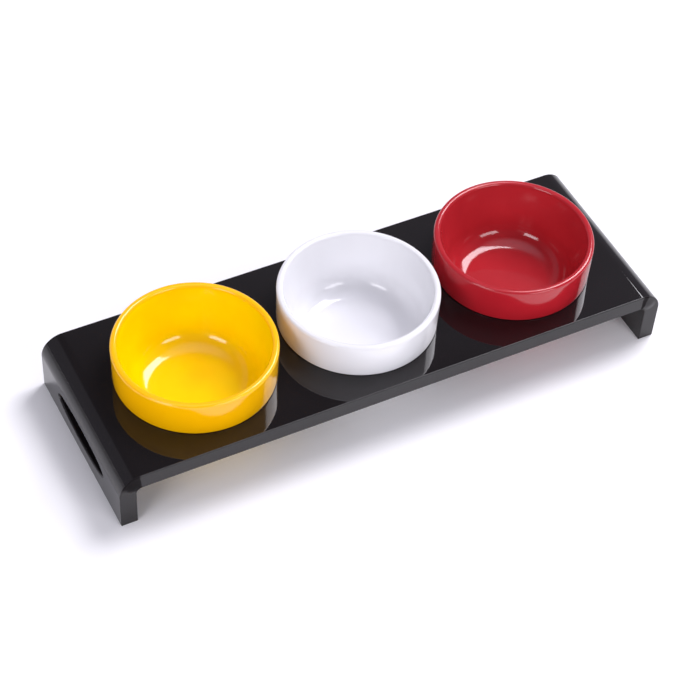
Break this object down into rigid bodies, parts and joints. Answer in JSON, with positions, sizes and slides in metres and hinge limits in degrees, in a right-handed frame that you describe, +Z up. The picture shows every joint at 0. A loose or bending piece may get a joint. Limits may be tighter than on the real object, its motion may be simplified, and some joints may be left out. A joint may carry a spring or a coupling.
{
  "type": "condiment stand",
  "caption": "Low bent-sheet stand with round holes in a row, each holding a lift-out glazed dip bowl on its shoulder; oval handholds in the legs.",
  "frame": {"origin": "middle of the footprint, on the surface the stand's legs rest on", "axes": "+X along the row of bowls towards the red one, +Y towards the back, +Z up"},
  "size_m": [0.348, 0.1176, 0.061],
  "materials": {
    "black_acrylic": "gloss",
    "yellow_glaze": "gloss",
    "white_glaze": "gloss",
    "red_glaze": "gloss"
  },
  "bodies": {
    "stand": {"stand": "black_acrylic"},
    "yellow_bowl": {"yellow_bowl": "yellow_glaze"},
    "white_bowl": {"white_bowl": "white_glaze"},
    "red_bowl": {"red_bowl": "red_glaze"}
  },
  "joints": [
    {"name": "yellow_bowl_lift", "type": "slide", "parent": "stand", "child": "yellow_bowl", "axis": [0, 0, 1], "range_m": [0, 0.05]},
    {"name": "white_bowl_lift", "type": "slide", "parent": "stand", "child": "white_bowl", "axis": [0, 0, 1], "range_m": [0, 0.05]},
    {"name": "red_bowl_lift", "type": "slide", "parent": "stand", "child": "red_bowl", "axis": [0, 0, 1], "range_m": [0, 0.05]}
  ]
}
